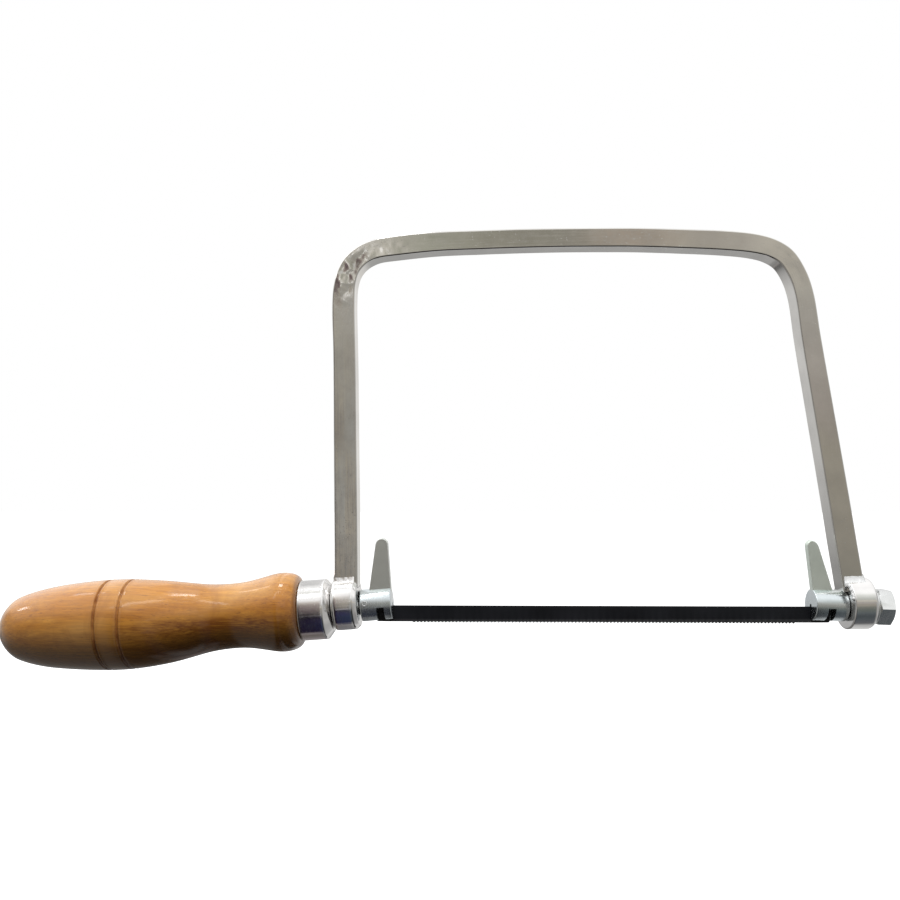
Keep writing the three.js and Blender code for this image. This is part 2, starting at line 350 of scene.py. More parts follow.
# -------------------------------------------------------------- materials
class Nodes:
    def __init__(self, name):
        self.m = bpy.data.materials.new(name)
        self.m.use_nodes = True
        self.t = self.m.node_tree
        self.t.nodes.clear()
        self.out = self.t.nodes.new("ShaderNodeOutputMaterial")
        self.bsdf = self.t.nodes.new("ShaderNodeBsdfPrincipled")
        self.t.links.new(self.bsdf.outputs[0], self.out.inputs[0])

    def node(self, kind, **props):
        n = self.t.nodes.new(kind)
        for k, v in props.items():
            setattr(n, k, v)
        return n

    def link(self, a, b):
        self.t.links.new(a, b)

    def coords(self, scale=(1, 1, 1), rotation=(0, 0, 0), location=(0, 0, 0), source="Object", attr=None):
        if attr:
            c = self.node("ShaderNodeAttribute", attribute_name=attr)
            src = c.outputs["Vector"]
        else:
            c = self.node("ShaderNodeTexCoord")
            src = c.outputs[source]
        mp = self.node("ShaderNodeMapping")
        mp.inputs["Scale"].default_value = scale
        mp.inputs["Rotation"].default_value = rotation
        mp.inputs["Location"].default_value = location
        self.link(src, mp.inputs["Vector"])
        return mp.outputs[0]

    def noise(self, vec, scale, detail=3.0, rough=0.5, distortion=0.0):
        n = self.node("ShaderNodeTexNoise")
        n.inputs["Scale"].default_value = scale
        n.inputs["Detail"].default_value = detail
        n.inputs["Roughness"].default_value = rough
        n.inputs["Distortion"].default_value = distortion
        self.link(vec, n.inputs["Vector"])
        return n.outputs["Fac"]

    def ramp(self, fac, stops, mode="LINEAR"):
        r = self.node("ShaderNodeValToRGB")
        r.color_ramp.interpolation = mode
        els = r.color_ramp.elements
        while len(els) < len(stops):
            els.new(0.5)
        for e, (pos, col) in zip(els, stops):
            e.position = pos
            e.color = (*col, 1) if len(col) == 3 else col
        self.link(fac, r.inputs["Fac"])
        return r.outputs["Color"]

    def range(self, fac, a, b, c, d, clamp=True, smooth=False):
        m = self.node("ShaderNodeMapRange")
        m.clamp = clamp
        if smooth:
            m.interpolation_type = "SMOOTHSTEP"
        for i, v in enumerate((a, b, c, d)):
            m.inputs[i + 1].default_value = v
        self.link(fac, m.inputs[0])
        return m.outputs[0]

    def math(self, op, a, b=None, clamp=False):
        m = self.node("ShaderNodeMath", operation=op)
        m.use_clamp = clamp
        for i, v in enumerate((a, b)):
            if v is None:
                continue
            if isinstance(v, (int, float)):
                m.inputs[i].default_value = v
            else:
                self.link(v, m.inputs[i])
        return m.outputs[0]

    def mix(self, fac, a, b, blend="MIX"):
        m = self.node("ShaderNodeMix", data_type="RGBA", blend_type=blend)
        if isinstance(fac, (int, float)):
            m.inputs[0].default_value = fac
        else:
            self.link(fac, m.inputs[0])
        for i, v in ((6, a), (7, b)):
            if isinstance(v, (tuple, list)):
                m.inputs[i].default_value = (*v, 1)
            else:
                self.link(v, m.inputs[i])
        return m.outputs[2]

    def bump(self, height, distance, strength=1.0, normal=None):
        b = self.node("ShaderNodeBump")
        b.inputs["Strength"].default_value = strength
        b.inputs["Distance"].default_value = distance
        self.link(height, b.inputs["Height"])
        if normal is not None:
            self.link(normal, b.inputs["Normal"])
        return b.outputs[0]

    def set(self, **kw):
        for k, v in kw.items():
            s = self.bsdf.inputs[k.replace("_", " ")]
            if isinstance(v, bpy.types.NodeSocket):
                self.link(v, s)
            elif isinstance(v, (tuple, list)):
                s.default_value = (*v, 1) if len(v) == 3 else v
            else:
                s.default_value = v


def metal(name, base, tint, rough, metallic=1.0, streak_axis=None, streak=0.0, pits=0.0, wave=0.0,
          coords_scale=1.0, attr=None, dull=(0.25, 0.25, 0.25), dull_amount=0.2, streak_scale=(40, 2600, 2600)):
    """Plated or machined metal: tint and roughness drift, fine lines, pits and slow waviness."""
    n = Nodes(name)
    obj = n.coords()
    drift = n.noise(obj, 85, 4, 0.55)
    cloud = n.noise(obj, 420, 3, 0.6)
    specks = n.node("ShaderNodeTexVoronoi", feature="F1")
    specks.inputs["Scale"].default_value = 900
    n.link(obj, specks.inputs["Vector"])
    spot = n.range(specks.outputs["Distance"], 0.05, 0.17, 1, 0)
    rare = n.range(n.noise(obj, 150, 2, 0.5), 0.52, 0.62, 0, 1)
    spots = n.math("MULTIPLY", spot, rare)
    col = n.mix(n.range(drift, 0.35, 0.68, 0, 1), base, tint)
    col = n.mix(n.math("MULTIPLY", spots, dull_amount), col, dull)
    r = n.math("ADD", n.range(drift, 0.3, 0.7, rough[0], rough[1]), n.range(cloud, 0.3, 0.7, -0.02, 0.03))
    r = n.math("ADD", r, n.math("MULTIPLY", spots, 0.18), clamp=True)
    height = n.math("MULTIPLY", spots, -pits)
    if streak:
        v = n.coords(scale=streak_scale, attr=attr) if attr else n.coords(scale=streak_scale)
        lines = n.noise(v, 1.0, 3, 0.6)
        height = n.math("ADD", height, n.math("MULTIPLY", lines, streak))
        r = n.math("ADD", r, n.range(lines, 0.35, 0.7, -0.03, 0.05))
    if wave:
        height = n.math("ADD", height, n.math("MULTIPLY", n.noise(obj, 55, 1.5, 0.4), wave))
    n.set(Base_Color=col, Metallic=metallic, Roughness=r, Normal=n.bump(height, 0.00002))
    return n.m


def wood_material():
    n = Nodes("lacquered_wood")
    tilt = math.atan2(rear.a.z, rear.a.x)
    rot = (0, tilt, 0)
    local = n.coords(rotation=rot)
    sep = n.node("ShaderNodeSeparateXYZ")
    n.link(local, sep.inputs[0])
    p = rear.p
    t0 = p.x * math.cos(tilt) + p.z * math.sin(tilt)
    along = n.math("SUBTRACT", sep.outputs[0], t0)          # distance along the handle, m

    broad = n.noise(n.coords(scale=(9, 110, 110), rotation=rot), 1.0, 4, 0.55, 0.6)
    wavy = n.coords(scale=(7, 150, 150), rotation=rot, location=(0.4, 0.2, 0.1))
    rings = n.node("ShaderNodeTexWave", wave_type="BANDS", bands_direction="DIAGONAL")
    rings.inputs["Scale"].default_value = 1.05
    rings.inputs["Distortion"].default_value = 5.5
    rings.inputs["Detail"].default_value = 3
    rings.inputs["Detail Scale"].default_value = 0.8
    n.link(wavy, rings.inputs["Vector"])
    fibre = n.noise(n.coords(scale=(75, 1700, 1700), rotation=rot), 1.0, 3, 0.6)
    pores = n.noise(n.coords(scale=(190, 3300, 3300), rotation=rot), 1.0, 1.5, 0.5)
    pore = n.range(pores, 0.63, 0.72, 0, 1)
    blotch = n.noise(n.coords(scale=(28, 60, 60), rotation=rot), 1.0, 2, 0.5)

    col = n.ramp(broad, [(0.28, (0.38, 0.140, 0.018)), (0.45, (0.50, 0.203, 0.026)), (0.58, (0.56, 0.245, 0.036)), (0.75, (0.65, 0.315, 0.062))])
    col = n.mix(n.range(rings.outputs["Fac"], 0.25, 0.95, 0.0, 0.26), col, (0.31, 0.115, 0.018))
    col = n.mix(n.range(fibre, 0.32, 0.68, 0.48, 0.0), col, (0.25, 0.085, 0.014))
    col = n.mix(n.math("MULTIPLY", pore, 0.5), col, (0.14, 0.05, 0.012))
    col = n.mix(n.range(blotch, 0.45, 0.66, 0.0, 0.4), col, (0.66, 0.38, 0.13))
    mottle = n.noise(n.coords(scale=(120, 65, 65), rotation=rot, location=(0.7, 0.1, 0.3)), 1.0, 3, 0.6, 0.8)
    col = n.mix(n.range(mottle, 0.50, 0.70, 0.0, 0.44), col, (0.27, 0.10, 0.018))
    knots = n.noise(n.coords(scale=(330, 900, 900), rotation=rot, location=(0.2, 0.9, 0.3)), 1.0, 1, 0.5)
    col = n.mix(n.range(knots, 0.69, 0.76, 0.0, 0.42), col, (0.20, 0.075, 0.018))

    # scorched scoring lines, and the darker rim against the ferrule
    burn = None
    for centre, half in ((-0.0843, 0.00072), (-0.0762, 0.00072)):
        d = n.math("ABSOLUTE", n.math("SUBTRACT", along, centre))
        core = n.range(d, half * 0.35, half * 1.5, 1, 0, smooth=True)
        halo = n.range(d, half, half * 3.6, 0.22, 0, smooth=True)
        one = n.math("MAXIMUM", core, halo)
        burn = one if burn is None else n.math("MAXIMUM", burn, one)
    ragged = n.range(n.noise(n.coords(scale=(260, 260, 260), rotation=rot), 1.0, 3, 0.6), 0.3, 0.7, 0.25, 0.9)
    burn = n.math("MULTIPLY", burn, ragged)
    rim = n.range(along, -0.0172, -0.0161, 0, 0.55, smooth=True)
    col = n.mix(burn, col, (0.15, 0.040, 0.006))
    col = n.mix(rim, col, (0.20, 0.075, 0.018))

    # painted shade: a darker run low on the front of the neck, broken up by the grain
    up = n.math("SUBTRACT", sep.outputs[2], p.z * math.cos(tilt) - p.x * math.sin(tilt))
    wander = n.math("MULTIPLY", n.math("SUBTRACT", n.noise(n.coords(scale=(60, 90, 90), rotation=rot), 1.0, 2, 0.5), 0.5), 0.006)
    up = n.math("ADD", up, wander)
    low_front_shade = n.math("MULTIPLY", n.range(up, 0.0022, -0.0004, 0, 1, smooth=True), n.range(up, -0.0022, -0.0055, 1, 0.40, smooth=True))
    low_front_shade = n.math("MULTIPLY", low_front_shade, n.range(along, -0.085, -0.050, 0.30, 1.0, smooth=True))
    low_front_shade = n.math("MULTIPLY", low_front_shade, n.range(along, -0.021, -0.028, 0.55, 1.0, smooth=True))
    low_front_shade = n.math("MULTIPLY", low_front_shade, n.range(sep.outputs[1], 0.006, -0.004, 0, 1, smooth=True))
    low_front_shade = n.math("MULTIPLY", low_front_shade, n.range(fibre, 0.3, 0.65, 1.0, 0.30))
    # painted shade mixed into the wood colour, low on the front of the neck
    col = n.mix(low_front_shade, col, (0.17, 0.048, 0.006))

    height = n.math("ADD", n.math("MULTIPLY", fibre, 0.35), n.math("MULTIPLY", pore, -0.7))
    fine = n.bump(height, 0.00002, 0.6)
    peel = n.noise(n.coords(scale=(170, 240, 240), rotation=rot), 1.0, 2, 0.5)
    soft = n.noise(n.coords(scale=(45, 70, 70), rotation=rot), 1.0, 1, 0.5)
    coat = n.bump(n.math("ADD", n.math("MULTIPLY", peel, 0.3), n.math("MULTIPLY", soft, 1.4)), 0.00012, 1.0)
    n.set(Base_Color=col, Roughness=n.range(fibre, 0.3, 0.7, 0.38, 0.5), Normal=fine,
          Coat_Weight=n.range(burn, 0.0, 0.8, 1.0, 0.12), Coat_Roughness=0.085, Coat_IOR=1.42, Coat_Normal=coat)
    n.bsdf.inputs["Specular IOR Level"].default_value = 0.25
    return n.m


def blade_material():
    n = Nodes("blued_blade")
    obj = n.coords()
    lines = n.noise(n.coords(scale=(25, 900, 2600)), 1.0, 3, 0.6)
    drift = n.noise(obj, 60, 3, 0.5)
    sep = n.node("ShaderNodeSeparateXYZ")
    n.link(obj, sep.inputs[0])
    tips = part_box("saw_blade")[0].z if hasattr(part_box("saw_blade")[0], "z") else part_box("saw_blade")[0][2]
    # lighter towards the tooth tips: ground steel, with a painted highlight along the tooth line
    tooth = n.range(sep.outputs[2], tips + 0.0007, tips + 0.0013, 1, 0, smooth=True)
    col = n.mix(n.range(drift, 0.35, 0.7, 0, 1), (0.007, 0.0075, 0.010), (0.016, 0.017, 0.021))
    col = n.mix(n.math("MULTIPLY", tooth, 0.35), col, (0.10, 0.10, 0.105))
    r = n.math("ADD", n.range(drift, 0.3, 0.7, 0.34, 0.46), n.range(lines, 0.35, 0.7, -0.05, 0.07))
    n.set(Base_Color=col, Metallic=0.1, Roughness=r, Normal=n.bump(lines, 0.000012))
    n.bsdf.inputs["Specular IOR Level"].default_value = 0.22
    return n.m


PLATE_A, PLATE_B = (0.66, 0.645, 0.615), (0.57, 0.555, 0.53)
m_bow = metal("plated_bow", PLATE_A, PLATE_B, (0.075, 0.13), streak=0.2, pits=1.2, wave=1.3,
              attr="along", streak_scale=(55, 1900, 1))
m_turned = metal("plated_turned", (0.72, 0.71, 0.70), (0.63, 0.62, 0.61), (0.07, 0.13), streak=0.25, pits=0.5, wave=1.0,
                 attr="along", streak_scale=(5200, 1, 1))
m_zinc = metal("zinc_plate", (0.60, 0.645, 0.66), (0.53, 0.575, 0.595), (0.19, 0.28), streak=0.5, pits=0.9, wave=1.2,
               attr="along", streak_scale=(3600, 1, 1))
m_lever = metal("zinc_lever", (0.78, 0.80, 0.765), (0.70, 0.72, 0.69), (0.30, 0.40), streak=0.45, pits=0.9, wave=1.0,
                streak_scale=(2600, 2600, 90))
# painted light: a lighter, greener, rougher copy of the lever zinc, for the front lever
m_lever_lit_copy = metal("zinc_lever_painted_light", (0.80, 0.86, 0.80), (0.70, 0.76, 0.70), (0.42, 0.50), streak=0.45, pits=0.9, wave=1.0,
                  streak_scale=(2600, 2600, 90))
m_steel = metal("plain_steel", (0.66, 0.665, 0.66), (0.56, 0.57, 0.57), (0.20, 0.30), streak=0.7, pits=0.8, wave=0.8,
                streak_scale=(3000, 120, 120))
m_braze = metal("braze", (0.86, 0.87, 0.87), (0.70, 0.70, 0.70), (0.42, 0.58), metallic=0.45, pits=2.0, wave=2.5,
                dull=(0.16, 0.15, 0.15), dull_amount=0.6)
m_wood = wood_material()
m_blade = blade_material()

# ---------------------------------------------------------------- the bow
BOW_DEPTH, BOW_EDGE = 7.8, 0.45
BOW_OUTER = [
    (-95.92, -122.6, 8.0), (-95.95, -105.29, 7.97), (-96.16, -70.0, 7.8), (-96.34, -40.0, 7.65), (-96.69, -19.49, 7.65),
    (-95.89, -12.47, 7.3), (-93.5, -6.23, 6.88), (-89.19, -1.57, 6.55), (-83.06, 1.61, 6.4), (-73.87, 3.34, 6.65),
    (-59.4, 4.76, 6.6), (-44.7, 5.31, 6.52), (-29.7, 5.79, 6.48), (-15.4, 6.03, 6.4), (-1.15, 6.14, 6.4), (13.1, 6.14, 6.46),
    (31.01, 5.68, 6.56), (45.33, 5.09, 6.66), (55.05, 4.0, 6.58), (61.83, 2.06, 6.37), (67.73, -1.68, 6.2), (72.0, -8.02, 6.15),
    (74.89, -15.76, 6.33), (77.83, -33.02, 6.65), (83.04, -62.36, 6.97), (88.06, -90.89, 7.23), (90.5, -105.26, 7.4),
    (92.85, -118.95, 7.45), (93.5, -122.85, 7.45),
]
BOW_GROW = 0.14          # each side
path = relax(resample(catmull(BOW_OUTER), 0.5), 10)


def bar_section(w, d, r):
    """Rounded rectangle, (inward, across, side) from the outer edge line. The flats carry
    close loops beside the roundings, so that they shade flat."""
    out = []
    corners = ((r, -d / 2 + r, -90), (r, d / 2 - r, 180), (w - r, d / 2 - r, 90), (w - r, -d / 2 + r, 0))
    for c, (cx, cy, a0) in enumerate(corners):
        arc = []
        for k in range(7):
            a = math.radians(a0 - 15 * k)
            arc.append((cx + r * math.cos(a), cy + r * math.sin(a)))
        if out:
            out += flat_run(out[-1], arc[0], 11 if c % 2 == 0 else 6)
        out += arc
    out += flat_run(out[-1], out[0], 11)
    return out


def flat_run(a, b, n):
    L = math.hypot(b[0] - a[0], b[1] - a[1])
    stops = [0.1 / L] + [0.1 / L + (1 - 0.2 / L) * k / n for k in range(1, n)] + [1 - 0.1 / L]
    return [(a[0] + (b[0] - a[0]) * f, a[1] + (b[1] - a[1]) * f) for f in stops]


def bump_of(x, z, front):
    """Unevenness left by bending the bar: strong in the rear bend, faint elsewhere (mm)."""
    rear_bend = math.exp(-((z + 10.5) / 7.5) ** 2) * (1 if x < -70 else 0)
    front_bend = math.exp(-((x - 68.5) / 6.0) ** 2 - ((z + 5) / 9.0) ** 2)
    q = Vector((x, z, 3.7))
    rough = noise.noise(q * 0.27) * 0.20 + noise.noise(q * 0.62 + Vector((9, 2, 0))) * 0.085 \
        + noise.noise(q * 1.5 + Vector((1, 7, 0))) * 0.022
    slope = 0.055 * (z + 10.5) / 1.0 * math.exp(-((z + 10.5) / 5.0) ** 2)
    faint = noise.noise(q * 0.05) * 0.05 + noise.noise(q * 0.17) * 0.006
    return (rough * 1.2 + slope) * rear_bend * (1.0 if front else 0.4) + rough * 0.16 * front_bend + faint


def bow_mesh():
    verts, faces, along, rows = [], [], [], []
    s, n = 0.0, len(path)
    for i, p in enumerate(path):
        q0, q1 = path[max(i - 1, 0)], path[min(i + 1, n - 1)]
        d = Vector((q1.x - q0.x, q1.y - q0.y)).normalized()
        inward = Vector((d.y, -d.x))
        if i:
            s += (path[i].xy - path[i - 1].xy).length
        sec = bar_section(p.z + 2 * BOW_GROW, BOW_DEPTH, BOW_EDGE)
        row, v = [], 0.0
        for k, (a, b) in enumerate(sec):
            if k:
                v += math.hypot(a - sec[k - 1][0], b - sec[k - 1][1])
            x, z = p.x + inward.x * (a - BOW_GROW), p.y + inward.y * (a - BOW_GROW)
            edge = min(a, p.z - a) / p.z
            lift = bump_of(x, z, b < 0) * (0.25 + 1.5 * max(edge, 0)) if abs(b) > BOW_DEPTH / 2 - 0.6 else 0.0
            side = noise.noise(Vector((x * 0.21, 5.0, z * 0.21))) * 0.02
            out = -side if a < 0.3 else (side if a > p.z + 2 * BOW_GROW - 0.3 else 0.0)
            row.append(len(verts))
            verts.append(Vector((x + inward.x * out, b + lift, z + inward.y * out)) * MM)
            along.append((s * MM, v * MM, 0.0))
        rows.append(row)
    m = len(rows[0])
    for a, b in zip(rows, rows[1:]):
        for k in range(m):
            k2 = (k + 1) % m
            faces.append((a[k], a[k2], b[k2], b[k]))
    faces.append(tuple(rows[0]))
    faces.append(tuple(reversed(rows[-1])))
    me = mesh_of("bow", verts, faces)
    at = me.attributes.new("along", "FLOAT_VECTOR", "POINT")
    at.data.foreach_set("vector", [c for a in along for c in a])
    outward(me)
    return me


bow = link("bow_bar", bow_mesh(), m_bow, "bow", ["bow_frame"], smooth=0)


def with_along(me, axis):
    """Stores distance along the axis, for turned lines."""
    at = me.attributes.new("along", "FLOAT_VECTOR", "POINT")
    vals = []
    for v in me.vertices:
        d = v.co - axis.p
        t = d.dot(axis.a)
        r = (d - axis.a * t).length
        vals += [t + r * 0.7, 0.0, 0.0]
    at.data.foreach_set("vector", vals)
    return me


# ------------------------------------------------------------------- eyes
EYE_R = 9.4


def eye_profile(x0, x1, bore, left, right):
    """left, right: (bevel along the axis, bevel depth, corner softness)."""
    pts = [(x0, bore + 0.3), (x0, EYE_R - left[1]), (x0 + left[0], EYE_R), (x1 - right[0], EYE_R), (x1, EYE_R - right[1]), (x1, bore + 0.3)]
    outer = rounded(pts, [0, left[2], left[2], right[2], right[2], 0], 6)
    return dense(outer, 0.7) + [(x1 - 0.3, bore), (x0 + 0.3, bore)]


rear_eye = link("rear_collar", with_along(lathe(rear, eye_profile(-4.15, 5.1, 4.3, (1.0, 1.0, 0.5), (1.35, 1.0, 0.45)), 160, lift=1.4, ring=True), rear),
                m_turned, "bow", ["rear_eye"], smooth=40)


class Tilted(Axis):
    def __init__(self, point, tilt):
        self.p = Vector((point[0], 0, point[1])) * MM
        a = math.radians(tilt)
        self.a = Vector((math.cos(a), 0, math.sin(a)))
        self.y = Vector((0, 1, 0))
        self.n = Vector((-math.sin(a), 0, math.cos(a)))


eye_axis = Tilted((92.05, -128.36), 1.0)
front_eye = link("front_collar", with_along(lathe(eye_axis, eye_profile(-4.3, 4.25, 4.9, (0.3, 0.35, 0.25), (0.9, 0.75, 0.45)), 160, ring=True), eye_axis),
                 m_turned, "bow", ["front_eye"], smooth=40)


# brazing round the foot of each leg
def foot_path(axis, lift, x0, x1, y):
    """Round the rectangle x0..x1, +-y where it meets the collar."""
    pts = []

    def on(x, yy):
        c = axis.at(0, 0, 0, lift) / MM
        t = (x - c.x) / axis.a.x
        top = math.sqrt(max(EYE_R ** 2 - yy ** 2, 0))
        q = axis.at(t, 0, 0, lift) / MM + axis.n * top
        return Vector((q.x, yy, q.z))
    steps = 14
    for k in range(steps + 1):
        pts.append(on(x0 + (x1 - x0) * k / steps, -y))
    for k in range(1, steps + 1):
        pts.append(on(x1, -y + 2 * y * k / steps))
    for k in range(1, steps + 1):
        pts.append(on(x1 + (x0 - x1) * k / steps, y))
    for k in range(1, steps):
        pts.append(on(x0, y - 2 * y * k / steps))
    pts.append(pts[0])
    return pts


def saddle(name, axis, lift, x0, x1, low, seed, scale=1.0, low_x=0.35, material=m_turned):
    """Brazed fillet: a rough skirt from the leg's foot out on to the collar."""
    verts, faces, rows = [], [], []
    ring = resample(foot_path(axis, lift, x0, x1, 3.9), 0.3)
    c = axis.at(0, 0, 0, lift) / MM
    mid = Vector(((x0 + x1) / 2, 0, 0))
    steps = 7
    for i, p in enumerate(ring):
        out = Vector((p.x - mid.x, p.y, 0))
        out = Vector((math.copysign(abs(out.x / 4.2) ** 2.2, out.x), math.copysign(abs(out.y / 3.9) ** 2.2, out.y), 0)).normalized()
        row = []
        for k in range(steps + 1):
            f = k / steps
            h = 1.3 * scale * (1 - f) ** 2.1
            reach = low_x if out.x > 0 else low_x * 0.1
            x, y = p.x + out.x * (reach * f - 0.12), p.y + out.y * (low * f - 0.12)
            base = math.sqrt(max(EYE_R ** 2 - y * y, 1.0))
            t = (x - c.x) / axis.a.x
            z = (c + axis.a * t + axis.n * base).z
            n1 = noise.noise(Vector((x * 0.9, y * 0.9, seed))) * 0.20 + noise.noise(Vector((x * 2.4, y * 2.4, seed + 3))) * 0.07
            z += h + n1 * (0.35 + math.sin(math.pi * f)) * scale - (0.12 if k == steps else 0)
            row.append(len(verts))
            verts.append(Vector((x, y, z)) * MM)
        rows.append(row)
    n = len(rows)
    for i in range(n - 1):
        a, b = rows[i], rows[i + 1]
        for k in range(steps):
            faces.append((a[k], a[k + 1], b[k + 1], b[k]))
    # close it underneath, inside the metal
    base = len(verts)
    for r in rows:
        v = verts[r[-1]].copy()
        v.z -= 1.2 * MM
        verts.append(v)
    top = len(verts)
    for r in rows:
        v = verts[r[0]].copy()
        v.x += (mid.x * MM - v.x) * 0.2
        v.y *= 0.8
        v.z -= 2.5 * MM
        verts.append(v)
    for i in range(n - 1):
        faces.append((rows[i][-1], base + i, base + i + 1, rows[i + 1][-1]))
        faces.append((base + i, top + i, top + i + 1, base + i + 1))
        faces.append((top + i, rows[i][0], rows[i + 1][0], top + i + 1))
    me = mesh_of(name, verts, faces)
    bm = bmesh.new()
    bm.from_mesh(me)
    bmesh.ops.remove_doubles(bm, verts=bm.verts, dist=1e-6)
    bmesh.ops.recalc_face_normals(bm, faces=bm.faces)
    bm.to_mesh(me)
    bm.free()
    return link(name, me, material, "bow", smooth=70)


saddle("rear_brazing", rear, 1.4, -95.85, -88.4, 1.3, 3.1, 1.3)
saddle("front_brazing", eye_axis, 0.0, 86.15, 93.3, 1.3, 7.7, 1.55, 0.9, m_braze)

# the thick run of braze down the inner rim of the front collar
rim = []
for k in range(34):
    phi = math.radians(-30 + 108 * k / 33)
    rim.append(eye_axis.at(-4.35 - 0.25 * math.sin(k * 1.9), EYE_R - 0.75 + 0.12 * math.sin(k * 1.3), phi) / MM)
bead("front_rim_bead", rim, 0.66, 4.4, m_braze, "bow", rough=0.38)

# ---------------------------------------------------------------- ferrule
ferrule = rounded([(-15.75, 9.3), (-15.75, 10.5), (-15.4, 10.82), (-6.5, 10.82), (-4.4, 8.2), (-4.4, 3.6)],
                  [0, 0.12, 0.25, 0.35, 0.3, 0], 6)
link("ferrule_cup", with_along(lathe(rear, dense(ferrule, 0.7) + [(-7.7, 3.6), (-7.7, 9.62), (-15.0, 9.62)], 128, ring=True), rear),
     m_turned, "handle", ["ferrule"], smooth=40)

# ----------------------------------------------------------------- handle
HANDLE = [
    (-124.1, 0), (-124.05, 1.2), (-123.85, 2.6), (-123.3, 4.4), (-122.35, 6.2), (-121.0, 8.0), (-119.35, 9.7), (-117.2, 11.2),
    (-114, 12.42), (-110, 13.5), (-106, 14.32), (-101, 15.0), (-96, 15.52), (-91, 15.9), (-86, 16.12), (-80.5, 16.2),
    (-75.6, 15.98), (-72.5, 15.74), (-69, 15.38), (-65, 14.9), (-61, 14.3), (-57, 13.56), (-53, 12.8), (-49.5, 12.2),
    (-46, 11.84), (-43, 11.68), (-40, 11.64), (-37, 11.76), (-34, 12.1), (-31, 12.66), (-28, 13.3),
    (-25.5, 13.85), (-23.5, 14.12), (-22, 14.2), (-20.3, 14.05), (-18.8, 13.72), (-17.5, 13.22),
    (-16.6, 12.55), (-16.05, 11.7), (-15.8, 11.0),
]
hp = [(p.x, p.y) for p in relax(resample(catmull([(a, b, 0) for a, b in HANDLE], 4), 0.3), 8)]


def scored(t, r):
    for c, half, depth in ((-84.3, 0.62, 0.45), (-76.2, 0.62, 0.45)):
        d = abs(t - c)
        if d < half:
            r -= depth * (0.5 + 0.5 * math.cos(math.pi * d / half))
        elif d < half * 2:
            r += 0.05 * math.sin(math.pi * (d - half) / half)
    return r


fine = []
for (a, ra), (b, rb) in zip(hp, hp[1:]):
    near = min(abs((a + b) / 2 + 84.3), abs((a + b) / 2 + 76.2)) < 1.6
    for k in range(4 if near else 1):
        f = k / (4 if near else 1)
        t, r = a + (b - a) * f, ra + (rb - ra) * f
        fine.append((t, scored(t, r)))
fine.append(hp[-1])
fine[0] = (fine[0][0], 0.0)
BOW_OF_WOOD = [(-126, 0.9), (-118, 0.72), (-110, 0.42), (-102, 0.28), (-95, 0.12), (-88, -0.08), (-80, -0.36), (-72, -0.55),
               (-64, -0.62), (-57, -0.52), (-50, -0.3), (-43, -0.14), (-34, -0.04), (-16, 0.0), (0, 0.0)]


def bent(me):
    """The turned wood has moved a little: its middle line wanders off the axis."""
    line = relax(resample([Vector((a, b)) for a, b in BOW_OF_WOOD], 1.0), 12)
    for v in me.vertices:
        t = (v.co - rear.p).dot(rear.a) / MM
        if t < -16:
            for a, b in zip(line, line[1:]):
                if a.x <= t <= b.x:
                    f = (t - a.x) / (b.x - a.x)
                    v.co += rear.n * (a.y + (b.y - a.y) * f) * MM
                    break
    return me


link("turned_handle", bent(lathe(rear, fine + [(-15.8, 9.3), (-8.0, 9.3), (-8.0, 3.7), (-44.0, 3.7), (-44.0, 0.0)], 144)),
     m_wood, "handle", ["wood_handle"], smooth=50)

# ---------------------------------------------------------- blade holders
HOLDER_R, SLIT, NOTCH, NOTCH_TOP, SLIT_TOP = 5.45, 1.3, 2.7, -0.6, 0.12
spigot_axis = Tilted(((rear.at(5.75).x) / MM, (rear.at(5.75).z) / MM + 0.30), 5.0)


def holder_mesh(axis, h0, h1, slit_to, notch, inward, radius):
    prof = rounded([(h0, 0), (h0, radius), (h1, radius), (h1, 0)], [0, 0.5, 0.5, 0], 6)
    me = lathe(axis, prof, 112)
    m = axis.matrix()
    tools = []
    if inward > 0:
        tools.append(box_mesh(slit_to, h1 + 2, -SLIT / 2, SLIT / 2, -HOLDER_R - 2, SLIT_TOP, m))
    else:
        tools.append(box_mesh(h0 - 2, slit_to, -SLIT / 2, SLIT / 2, -HOLDER_R - 2, SLIT_TOP, m))
    tools.append(box_mesh(notch - NOTCH / 2, notch + NOTCH / 2, -9, 9, -HOLDER_R - 2, NOTCH_TOP, m))
    return with_along(boolean(me, tools), axis)


rear_holder = crisp(link("rear_spigot_body", holder_mesh(spigot_axis, 0.0, 11.1, 3.75, 7.15, 1, 5.74),
                         m_zinc, "rear_spigot", ["rear_blade_holder"], smooth=35), 0.16)
front_holder = crisp(link("front_spigot_body", holder_mesh(front, -5.6, 6.3, 1.65, 0.0, -1, 5.66),
                          m_zinc, "front_spigot", ["front_blade_holder"], smooth=35), 0.16)

# ----------------------------------------------------------------- levers
REAR_LEVER = [(-84.15, -124.72), (-81.65, -106.4), (-80.85, -105.3), (-79.4, -104.75), (-78.0, -105.25), (-77.25, -106.35), (-75.95, -124.2)]
FRONT_LEVER = [(75.95, -124.3), (73.92, -107.2), (74.35, -106.2), (75.45, -105.5), (76.95, -106.05), (77.95, -107.3), (83.35, -124.5)]
# the front lever takes the lighter copy of the zinc, which is painted light
for name, outline, body, node, mat in (("rear_thumb_lever", REAR_LEVER, "rear_spigot", "rear_lever", m_lever),
                                       ("front_thumb_lever", FRONT_LEVER, "front_spigot", "front_lever", m_lever_lit_copy)):
    pts = rounded([outline[0]] + list(outline[1:]), [0, 0.8, 0.8, 0.9, 0.8, 0.8, 0], 5)
    crisp(link(name, plate_mesh(pts, 3.0), mat, body, [node], smooth=30), 0.38, 4, 50)

# ---------------------------------------------------- bolt, washer, pins
HEAD, END, AF = 16.8, 22.45, 12.1


